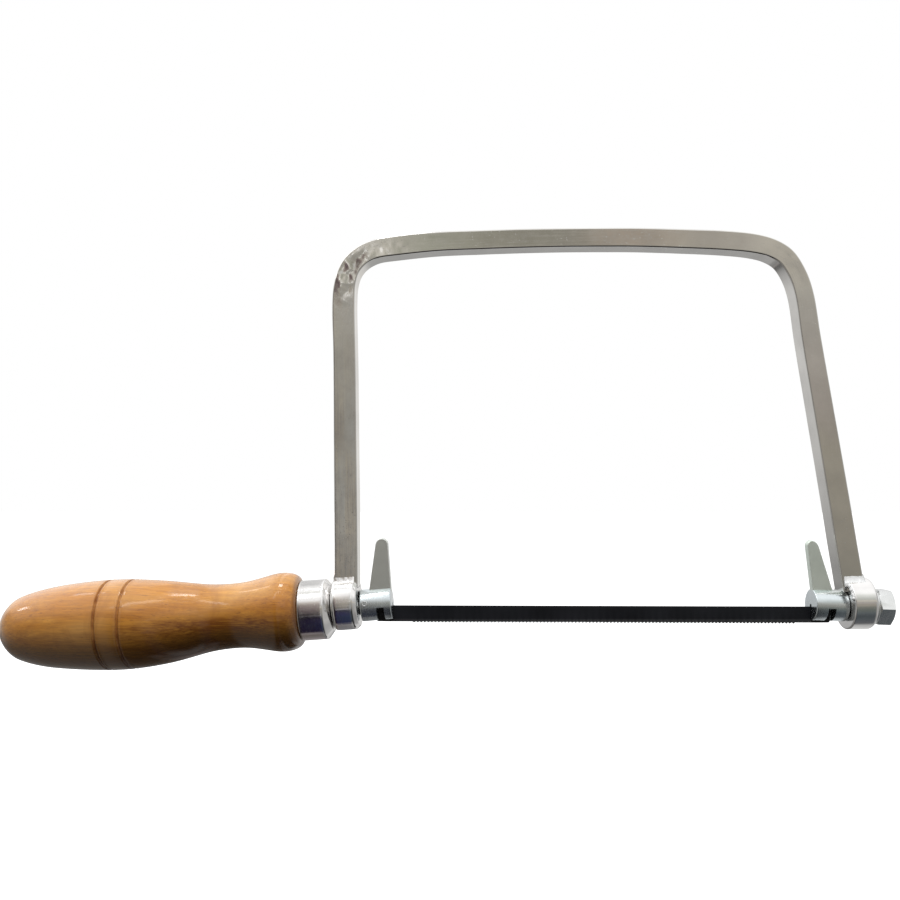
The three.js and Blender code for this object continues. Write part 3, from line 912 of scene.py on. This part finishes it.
def bolt_mesh():
    m = front.matrix()
    rc = AF / math.sqrt(3)
    v, f = [], []
    for t in (HEAD + 0.35, END):
        for k in range(6):
            a = math.radians(60 * k)
            v.append(m @ (Vector((t, -rc * math.cos(a), rc * math.sin(a))) * MM))
    f = [tuple(range(6)), tuple(range(11, 5, -1))] + [(i, (i + 1) % 6, (i + 1) % 6 + 6, i + 6) for i in range(6)]
    hexa = mesh_of("hex", v, f)
    outward(hexa)
    dome = lathe(front, [(HEAD - 2, 0), (HEAD - 2, 9.5), (END - 1.15, 7.9), (END - 0.08, AF / 2 - 0.3), (END, AF / 2 - 0.55), (END, 0)], 96)
    head = boolean(hexa, [dome], "INTERSECT")
    shank = lathe(front, [(3.2, 0), (3.2, 3.4), (3.7, 3.9), (HEAD, 3.9), (HEAD, 6.2), (HEAD + 0.5, 6.2), (HEAD + 0.5, 0)], 64)
    return with_along(boolean(head, [shank], "UNION"), front)


crisp(link("hex_bolt", bolt_mesh(), m_steel, "front_spigot", ["front_bolt"], smooth=25), 0.12, 2, 25)
washer = rounded([(15.4, 4.2), (15.4, 6.8), (16.5, 6.8), (16.5, 4.2)], [0, 0.25, 0.25, 0], 4)
link("bolt_washer", with_along(lathe(front, washer, 96, ring=True), front), m_steel, "front_spigot", ["front_washer"], smooth=40)

# ------------------------------------------------------------------ blade
X0, X1, BACK, TIPS, TH, GULLET, PITCH = -81.4, 82.5, -129.42, -135.6, 0.5, 0.5, 1.27
TOOTH0, TOOTH1 = -68.0, 70.0


def blade_mesh():
    # columns along the blade, each with a back, a mid line and a lower edge point
    cols = [(X0, TIPS + 0.95, 0.45), (X0 + 0.45, TIPS + 0.45, 0.0), (X0 + 4, TIPS + 0.4, 0.0), (TOOTH0 - 0.3, TIPS + 0.4, 0.0)]
    x, k = TOOTH0, 0
    while x < TOOTH1 - PITCH / 2:
        cols.append((x + 0.02, TIPS + 0.02, 0.0, 1 if k % 2 else -1))
        cols.append((x + 0.14, TIPS, 0.0, 1 if k % 2 else -1))
        cols.append((x + 0.62, TIPS + GULLET * 0.62, 0.0))
        cols.append((x + 0.95, TIPS + GULLET * 0.97, 0.0))
        cols.append((x + PITCH - 0.22, TIPS + GULLET * 0.9, 0.0))
        x += PITCH
        k += 1
    cols += [(TOOTH1 + 0.5, TIPS + 0.4, 0.0), (X1 - 4, TIPS + 0.4, 0.0), (X1 - 0.45, TIPS + 0.45, 0.0), (X1, TIPS + 0.95, 0.45)]
    verts, faces = [], []
    for c in cols:
        x, low, drop = c[0], c[1], c[2]
        s = (c[3] * 0.13) if len(c) > 3 else 0.0
        for side in (-1, 1):
            verts.append(Vector((x, side * TH / 2, BACK - drop)) * MM)
            verts.append(Vector((x, side * TH / 2, TIPS + GULLET + 0.55)) * MM)
            verts.append(Vector((x, side * TH / 2 * 0.96 + s, low)) * MM)
        for v in verts[-6:]:
            v.z -= (v.x + 0.002) * 0.003
    n = len(cols)
    for i in range(n - 1):
        a, b = i * 6, (i + 1) * 6
        faces += [(a, a + 1, b + 1, b), (a + 1, a + 2, b + 2, b + 1),
                  (a + 3, b + 3, b + 4, a + 4), (a + 4, b + 4, b + 5, a + 5),
                  (a, b, b + 3, a + 3), (a + 2, a + 5, b + 5, b + 2)]
    for a in (0, (n - 1) * 6):
        faces += [(a, a + 3, a + 4, a + 1), (a + 1, a + 4, a + 5, a + 2)]
    me = mesh_of("blade", verts, faces)
    outward(me)
    return me


link("blade_strip", blade_mesh(), m_blade, "blade", ["saw_blade"], smooth=30)
for node, name in (("rear_blade_pin", "rear_cross_pin"), ("front_blade_pin", "front_cross_pin")):
    lo, hi = [Vector(c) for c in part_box(node)]
    c, r, half = (lo + hi) / 2, (hi.x - lo.x) / 2, (hi.y - lo.y) / 2
    ax = Tilted((0, 0), 0)
    ax.p, ax.a, ax.y, ax.n = c, Vector((0, 1, 0)), Vector((1, 0, 0)), Vector((0, 0, 1))
    h, rr = half / MM, r / MM
    link(name, lathe(ax, rounded([(-h, 0), (-h, rr), (h, rr), (h, 0)], [0, 0.25, 0.25, 0], 4), 32), m_blade, "blade", [node], smooth=40)

# the locking pin, its end peened into a shallow ring
pin = Tilted((0, 0), 0)
pin.p = spigot_axis.at(1.8)
pin.a = (spigot_axis.n * math.sin(math.radians(13)) - spigot_axis.y * math.cos(math.radians(13))).normalized()
pin.y = spigot_axis.a.copy()
pin.n = pin.a.cross(pin.y).normalized()
R = 5.74
link("rear_lock_pin_head", lathe(pin, dense(rounded([(4.2, 0), (4.2, 0.98), (R + 0.12, 0.98), (R + 0.16, 0.68), (R - 0.10, 0.52), (R - 0.12, 0)],
                                                    [0, 0, 0.16, 0.12, 0.1, 0], 5), 0.15), 48),
     m_steel, "rear_spigot", ["rear_lock_pin"], smooth=40)

# CAD pieces that stay: they sit inside, or show only as a thin ring or a pin end
for o in list(scene.objects):
    if o.type == "MESH" and "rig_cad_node" in o and not o.hide_render:
        for i in range(len(o.material_slots)):
            o.material_slots[i].material = m_steel

# ------------------------------------------------------- floor and light
floor_z = cad_lo.z - 0.145
me = mesh_of("floor", [(-6, -6, floor_z), (6, -6, floor_z), (6, 6, floor_z), (-6, 6, floor_z)], [(0, 1, 2, 3)])
floor = bpy.data.objects.new("floor", me)
scene.collection.objects.link(floor)
fm = bpy.data.materials.new("floor")
fm.use_nodes = True
fb = fm.node_tree.nodes["Principled BSDF"]
fb.inputs["Base Color"].default_value = (0.86, 0.86, 0.86, 1)
fb.inputs["Roughness"].default_value = 0.9
fb.inputs["Specular IOR Level"].default_value = 0.0
fb.inputs["Emission Color"].default_value = (1, 1, 1, 1)
fb.inputs["Emission Strength"].default_value = 0.95
me.materials.append(fm)
floor.visible_glossy = False
floor.visible_diffuse = False
floor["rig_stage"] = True

world = bpy.data.worlds.new("studio")
scene.world = world
world.use_nodes = True
wt = world.node_tree
wt.nodes.clear()


def wn(kind, **p):
    n = wt.nodes.new(kind)
    for k, v in p.items():
        setattr(n, k, v)
    return n


def wramp(fac, stops):
    r = wn("ShaderNodeValToRGB")
    els = r.color_ramp.elements
    while len(els) < len(stops):
        els.new(0.5)
    for e, (pos, c) in zip(els, stops):
        e.position, e.color = pos, (*c, 1)
    wt.links.new(fac, r.inputs["Fac"])
    return r.outputs["Color"]


co = wn("ShaderNodeTexCoord")
sp = wn("ShaderNodeSeparateXYZ")
wt.links.new(co.outputs["Generated"], sp.inputs[0])
front_y = wn("ShaderNodeMath", operation="MULTIPLY")
front_y.inputs[1].default_value = -1.0
wt.links.new(sp.outputs["Y"], front_y.inputs[0])
# turn: the angle round the X axis, 0 at the front horizon, 90 overhead, 180 at the back
turn = wn("ShaderNodeMath", operation="ARCTAN2")
wt.links.new(sp.outputs["Z"], turn.inputs[0])
wt.links.new(front_y.outputs[0], turn.inputs[1])
turn01 = wn("ShaderNodeMapRange")
for i, v in enumerate((-math.pi, math.pi, 0, 1)):
    turn01.inputs[i + 1].default_value = v
wt.links.new(turn.outputs[0], turn01.inputs[0])


def dot(vx, vy, vz):
    m = wn("ShaderNodeVectorMath", operation="DOT_PRODUCT")
    wt.links.new(co.outputs["Generated"], m.inputs[0])
    m.inputs[1].default_value = (vx, vy, vz)
    return m.outputs["Value"]


# the same angle taken round the handle's own axis, and the distance along that axis
along_rear = dot(rear.a.x, 0, rear.a.z)
turn_r = wn("ShaderNodeMath", operation="ARCTAN2")
wt.links.new(dot(rear.n.x, 0, rear.n.z), turn_r.inputs[0])
wt.links.new(front_y.outputs[0], turn_r.inputs[1])
turn_r01 = wn("ShaderNodeMapRange")
for i, v in enumerate((-math.pi, math.pi, 0, 1)):
    turn_r01.inputs[i + 1].default_value = v
wt.links.new(turn_r.outputs[0], turn_r01.inputs[0])


def studio_ramp(stops, at_rear=False):
    return wramp((turn_r01 if at_rear else turn01).outputs[0], [((deg + 180) / 360, c) for deg, c in stops])


def grey(v, warm=0.0):
    return (v * (1 + warm), v, v * (1 - warm * 1.6))


far_left = studio_ramp([
    (-180, grey(1.0)), (-172, grey(0.92)), (-163, (0.40, 0.38, 0.38)), (-129, (0.27, 0.24, 0.24)), (-104, (0.18, 0.155, 0.14)),
    (-96, (0.29, 0.25, 0.25)), (-90, (0.27, 0.24, 0.24)), (-86, (0.05, 0.035, 0.05)), (-81, (0.015, 0.009, 0.026)),
    (-31, (0.014, 0.009, 0.028)), (-19.3, (0.008, 0.005, 0.012)), (-8, (0.02, 0.013, 0.028)), (3.3, (0.125, 0.088, 0.105)),
    (14.5, (0.21, 0.155, 0.17)), (26, (0.33, 0.255, 0.23)), (30.5, (0.48, 0.41, 0.37)), (35, (0.76, 0.69, 0.62)), (39, (1.1, 1.05, 1.0)),
    (44, grey(1.42)), (61, grey(1.45)), (74, (1.07, 1.09, 1.04)), (88, grey(1.45)), (105, grey(1.22)), (118, grey(0.80)), (152, grey(0.84)), (180, grey(1.0))], at_rear=True)
beyond = studio_ramp([
    (-180, grey(0.75)), (-172, grey(0.60)), (-164, grey(0.26)), (-120, grey(0.22, 0.03)), (-90, grey(0.27, 0.03)), (-50, grey(0.34, 0.03)), (-20, grey(0.36, 0.03)), (0, grey(0.30, 0.03)),
    (18, grey(0.34, 0.03)), (34, grey(0.62, 0.02)), (50, grey(1.4)), (80, grey(1.9)), (125, grey(1.9)), (152, grey(1.4)), (166, grey(0.80)),
    (180, grey(0.75))], at_rear=True)
left_eye = studio_ramp([
    (-180, grey(0.72)), (-172, grey(0.5)), (-150, grey(0.25)), (-136, (0.20, 0.20, 0.21)), (-98, (0.20, 0.19, 0.20)),
    (-92, (0.03, 0.035, 0.085)), (-84, (0.024, 0.03, 0.085)), (-50.6, (0.03, 0.042, 0.105)), (-36.4, (0.048, 0.046, 0.125)), (-19.5, (0.03, 0.02, 0.04)),
    (-17, (0.50, 0.47, 0.50)), (-14, (0.52, 0.50, 0.50)), (-12.5, (0.30, 0.26, 0.21)), (-9, (0.32, 0.28, 0.225)), (-5, (0.43, 0.39, 0.33)),
    (0.5, (0.47, 0.43, 0.355)), (2.6, (0.44, 0.40, 0.325)), (3.5, (0.365, 0.325, 0.265)), (4.6, (0.46, 0.42, 0.34)), (8, (0.54, 0.50, 0.41)),
    (16.7, (0.62, 0.575, 0.49)), (24, (0.73, 0.69, 0.63)), (30, (0.86, 0.82, 0.77)), (43, (1.27, 1.22, 1.2)), (57, grey(1.42)), (72, grey(1.42)),
    (86, grey(0.80)), (92, grey(0.85)), (106, grey(1.3)), (130, grey(1.05)), (180, grey(0.75))], at_rear=True)
left_spigot = studio_ramp([
    (-180, grey(0.72)), (-160, grey(0.40)), (-129, grey(0.30)), (-98, grey(0.42)), (-88, grey(0.30)), (-78, (0.045, 0.055, 0.065)),
    (-70, (0.06, 0.075, 0.09)), (-40, (0.07, 0.085, 0.105)), (-29, (0.09, 0.105, 0.12)), (-22, (0.25, 0.265, 0.28)), (-15, (0.38, 0.40, 0.425)),
    (-4, (0.41, 0.425, 0.43)), (4, (0.42, 0.43, 0.42)), (10, (0.47, 0.46, 0.42)), (19, (0.53, 0.53, 0.51)), (26, (0.72, 0.72, 0.70)), (40, grey(0.92)),
    (52, grey(1.3)), (62, grey(1.9)), (90, grey(2.1)), (120, grey(2.1)), (150, grey(1.8)), (168, grey(0.9)), (180, grey(0.75))], at_rear=True)
middle = studio_ramp([
    (-180, grey(0.84, 0.02)), (-173, grey(0.82, 0.01)), (-166, grey(0.47)), (-160, grey(0.46)), (-150, grey(0.62)), (-140, grey(0.85)), (-133, grey(0.6)),
    (-128, grey(0.12)), (-120, grey(0.03)), (-27, (0.035, 0.033, 0.03)), (-20, (0.12, 0.11, 0.10)), (-8, (0.36, 0.345, 0.31)), (8, (0.44, 0.42, 0.38)), (13, (0.52, 0.50, 0.45)),
    (25, grey(0.85)), (32, grey(1.3)), (70, grey(1.4)), (110, grey(1.25)), (140, grey(1.0)), (180, grey(0.84, 0.02))])
right_end = studio_ramp([
    (-180, grey(0.80)), (-136, grey(0.76)), (-118, grey(0.68)), (-108, grey(0.62)), (-100, grey(0.40)), (-91, (0.14, 0.145, 0.155)),
    (-84, (0.135, 0.14, 0.155)), (-66, (0.10, 0.115, 0.125)), (-50.6, (0.085, 0.10, 0.11)), (-36.4, (0.135, 0.155, 0.165)), (-22.5, (0.165, 0.185, 0.17)),
    (-9, (0.26, 0.265, 0.235)), (-5, (0.39, 0.365, 0.315)), (1.5, (0.41, 0.385, 0.33)), (3.3, (0.36, 0.335, 0.28)), (4.6, (0.46, 0.42, 0.385)),
    (8, (0.50, 0.465, 0.43)), (12, (0.53, 0.51, 0.47)), (16.7, (0.56, 0.565, 0.52)), (30, (0.74, 0.76, 0.72)), (43, (1.08, 1.1, 1.06)), (55, grey(1.42)),
    (110, grey(1.42)), (150, grey(1.2)), (180, grey(0.80))])


def across(lo_x, hi_x, at_rear=False):
    m = wn("ShaderNodeMapRange", interpolation_type="SMOOTHSTEP")
    for i, v in enumerate((lo_x, hi_x, 0, 1)):
        m.inputs[i + 1].default_value = v
    wt.links.new(along_rear if at_rear else sp.outputs["X"], m.inputs[0])
    return m.outputs[0]


def wmix(fac, c1, c2):
    m = wn("ShaderNodeMix", data_type="RGBA")
    wt.links.new(fac, m.inputs[0])
    wt.links.new(c1, m.inputs[6])
    wt.links.new(c2, m.inputs[7])
    return m.outputs[2]


far_right = studio_ramp([
    (-180, grey(0.80)), (-150, grey(0.66)), (-120, grey(0.46)), (-90, grey(0.34)), (-45, grey(0.36, 0.02)), (-15, grey(0.42, 0.02)), (10, grey(0.50, 0.02)),
    (38, grey(0.90)), (60, grey(1.35)), (120, grey(1.3)), (150, grey(1.0)), (180, grey(0.80))])
ends = wn("ShaderNodeRGB")
ends.outputs[0].default_value = (0.56, 0.56, 0.55, 1)
shadow = studio_ramp([
    (-180, grey(0.75)), (-172, grey(0.60)), (-164, grey(0.18)), (-120, (0.08, 0.065, 0.05)), (-90, (0.03, 0.025, 0.02)), (0, (0.05, 0.04, 0.03)),
    (18, (0.14, 0.12, 0.10)), (34, (0.45, 0.43, 0.40)), (50, grey(1.2)), (80, grey(1.5)), (125, grey(1.5)), (152, grey(1.0)), (166, grey(0.70)),
    (180, grey(0.70))], at_rear=True)
room = wmix(across(-0.39, -0.33, True), beyond, shadow)
room = wmix(across(-0.255, -0.238, True), room, far_left)
room = wmix(across(-0.1925, -0.1875, True), room, left_eye)
room = wmix(across(-0.1580, -0.1550, True), room, left_spigot)
room = wmix(across(-0.11, -0.07, True), room, middle)
room = wmix(across(0.29, 0.35), room, right_end)
room = wmix(across(0.48, 0.54), room, far_right)
room = wmix(across(0.82, 0.95), room, ends.outputs[0])
room = wmix(across(-0.82, -0.95), room, ends.outputs[0])

# upright bands on the wall behind the camera, seen in the top of the bow
x01 = wn("ShaderNodeMapRange")
for i, v in enumerate((-0.5, 0.5, 0, 1)):
    x01.inputs[i + 1].default_value = v
wt.links.new(sp.outputs["X"], x01.inputs[0])


def a(deg):
    t = 815 * math.tan(math.radians(deg))
    return t / math.hypot(t, 851.0) + 0.5


wall = wramp(x01.outputs[0], [
    (a(-12), (1.0, 0.97, 0.92)), (a(-8), (0.98, 0.95, 0.89)), (a(-6.4), (0.70, 0.67, 0.59)), (a(-5.2), (0.56, 0.555, 0.485)), (a(-4.0), (0.46, 0.465, 0.39)),
    (a(-3.3), (0.385, 0.395, 0.325)), (a(-2.7), (0.46, 0.46, 0.39)), (a(-1.2), (0.425, 0.42, 0.35)), (a(1.2), (0.40, 0.385, 0.325)),
    (a(4.0), (0.385, 0.37, 0.31)), (a(5.2), (0.355, 0.345, 0.30)), (a(5.8), (0.38, 0.36, 0.315)), (a(7.85), (0.375, 0.35, 0.30)),
    (a(8.25), (0.54, 0.49, 0.42)), (a(10.4), (0.57, 0.48, 0.405)), (a(11.0), (0.50, 0.44, 0.36)), (a(11.6), (0.56, 0.49, 0.415)),
    (a(14.5), (0.56, 0.52, 0.45)), (a(17.5), (0.58, 0.55, 0.50)), (a(21), (0.72, 0.68, 0.60))])
up = wn("ShaderNodeMapRange", interpolation_type="SMOOTHSTEP")
for i, v in enumerate((math.radians(13.2), math.radians(15.0), 0, 1)):
    up.inputs[i + 1].default_value = v
wt.links.new(turn.outputs[0], up.inputs[0])
down = wn("ShaderNodeMapRange", interpolation_type="SMOOTHSTEP")
for i, v in enumerate((math.radians(19.0), math.radians(23), 1, 0)):
    down.inputs[i + 1].default_value = v
wt.links.new(turn.outputs[0], down.inputs[0])
window = wn("ShaderNodeMath", operation="MULTIPLY")
wt.links.new(up.outputs[0], window.inputs[0])
wt.links.new(down.outputs[0], window.inputs[1])
inner = wn("ShaderNodeMath", operation="MULTIPLY")
wt.links.new(window.outputs[0], inner.inputs[0])
wt.links.new(across(-0.165, -0.145), inner.inputs[1])
walled = wmix(inner.outputs[0], room, wall)

# a small bright window, seen in the rough plating of the rear bend
pane = across(-0.166, -0.161)
for source, lo_v, hi_v, t0, t1 in ((sp.outputs["X"], -0.147, -0.142, 1, 0), (turn.outputs[0], math.radians(12.9), math.radians(13.5), 0, 1),
                                   (turn.outputs[0], math.radians(15.9), math.radians(16.6), 1, 0)):
    edge = wn("ShaderNodeMapRange", interpolation_type="SMOOTHSTEP")
    for i, v in enumerate((lo_v, hi_v, t0, t1)):
        edge.inputs[i + 1].default_value = v
    wt.links.new(source, edge.inputs[0])
    both_edges = wn("ShaderNodeMath", operation="MULTIPLY")
    wt.links.new(pane, both_edges.inputs[0])
    wt.links.new(edge.outputs[0], both_edges.inputs[1])
    pane = both_edges.outputs[0]
sky = wn("ShaderNodeRGB")
sky.outputs[0].default_value = (1.9, 1.9, 1.9, 1)
walled = wmix(pane, walled, sky.outputs[0])

# a little cloudiness, so that nothing reflects a perfectly even wall
cloud = wn("ShaderNodeTexNoise")
cloud.inputs["Scale"].default_value = 7.0
cloud.inputs["Detail"].default_value = 3.0
wt.links.new(co.outputs["Generated"], cloud.inputs["Vector"])
shade = wn("ShaderNodeMapRange")
for i, v in enumerate((0.3, 0.7, 0.93, 1.06)):
    shade.inputs[i + 1].default_value = v
wt.links.new(cloud.outputs["Fac"], shade.inputs[0])
both = wn("ShaderNodeMix", data_type="RGBA", blend_type="MULTIPLY")
both.inputs[0].default_value = 1.0
wt.links.new(walled, both.inputs[6])
wt.links.new(shade.outputs[0], both.inputs[7])
lp = wn("ShaderNodeLightPath")
studio = wn("ShaderNodeBackground")
soft = wn("ShaderNodeMapRange")
for i, v in enumerate((-0.15, 0.9, 0.008, 0.40)):
    soft.inputs[i + 1].default_value = v
wt.links.new(sp.outputs["Z"], soft.inputs[0])
seen = wn("ShaderNodeMix", data_type="RGBA")
wt.links.new(lp.outputs["Is Glossy Ray"], seen.inputs[0])
wt.links.new(soft.outputs[0], seen.inputs[6])
wt.links.new(both.outputs[2], seen.inputs[7])
wt.links.new(seen.outputs[2], studio.inputs["Color"])
world.cycles.sampling_method = "NONE"
studio.inputs["Strength"].default_value = 1.0
paper = wn("ShaderNodeBackground")
paper.inputs["Color"].default_value = (1, 1, 1, 1)
paper.inputs["Strength"].default_value = 1.0
ms = wn("ShaderNodeMixShader")
wt.links.new(lp.outputs["Is Camera Ray"], ms.inputs[0])
wt.links.new(studio.outputs[0], ms.inputs[1])
wt.links.new(paper.outputs[0], ms.inputs[2])
wo = wn("ShaderNodeOutputWorld")
wt.links.new(ms.outputs[0], wo.inputs[0])


def area(name, loc, target, size, power, color=(1, 1, 1)):
    d = bpy.data.lights.new(name, "AREA")
    d.shape, d.size, d.size_y = "RECTANGLE", size[0], size[1]
    d.energy, d.color = power, color
    o = bpy.data.objects.new(name, d)
    scene.collection.objects.link(o)
    o.location = loc
    o.rotation_mode = "QUATERNION"
    o.rotation_quaternion = (Vector(target) - Vector(loc)).to_track_quat("-Z", "Y")
    return o




def glint(name, direction, radiance, size, dist=1.1, centre=(-0.16, 0.0, -0.13)):
    """A soft lamp seen in the given direction; the size is its angle in degrees."""
    d = Vector(direction).normalized()
    w, h = (2 * dist * math.tan(math.radians(a_ / 2)) for a_ in size)
    loc = Vector(centre) + d * dist
    return area(name, loc, centre, (w, h), radiance * math.pi * w * h)


key = glint("key", (0.03, -0.34, 0.94), 17.5, (26, 26))
key.visible_glossy = False
glint("lamp_top", (-0.092, -0.002, 0.996), 12, (10, 9))
glint("lamp_left", (-0.285, -0.50, 0.82), 3.4, (3.5, 24))
glint("lamp_far_left", (-0.53, 0.119, 0.839), 3.5, (5, 8))
glint("lamp_butt", (-0.819, -0.04, 0.572), 9, (5, 5))

# ----------------------------------------------------------------- camera
cam = bpy.data.cameras.new("camera")
cam.sensor_width = 36.0
cam.lens = 815.0 / 900.0 * 36.0
cam.shift_x, cam.shift_y = -30.0 / 900.0, 35.0 / 900.0
cam.clip_start, cam.clip_end = 0.01, 50
co_ = bpy.data.objects.new("camera", cam)
scene.collection.objects.link(co_)
co_.location = (-0.044014, -0.29503, -0.085644)
co_.rotation_euler = (math.radians(90), 0, 0)
scene.camera = co_

lo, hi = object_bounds()
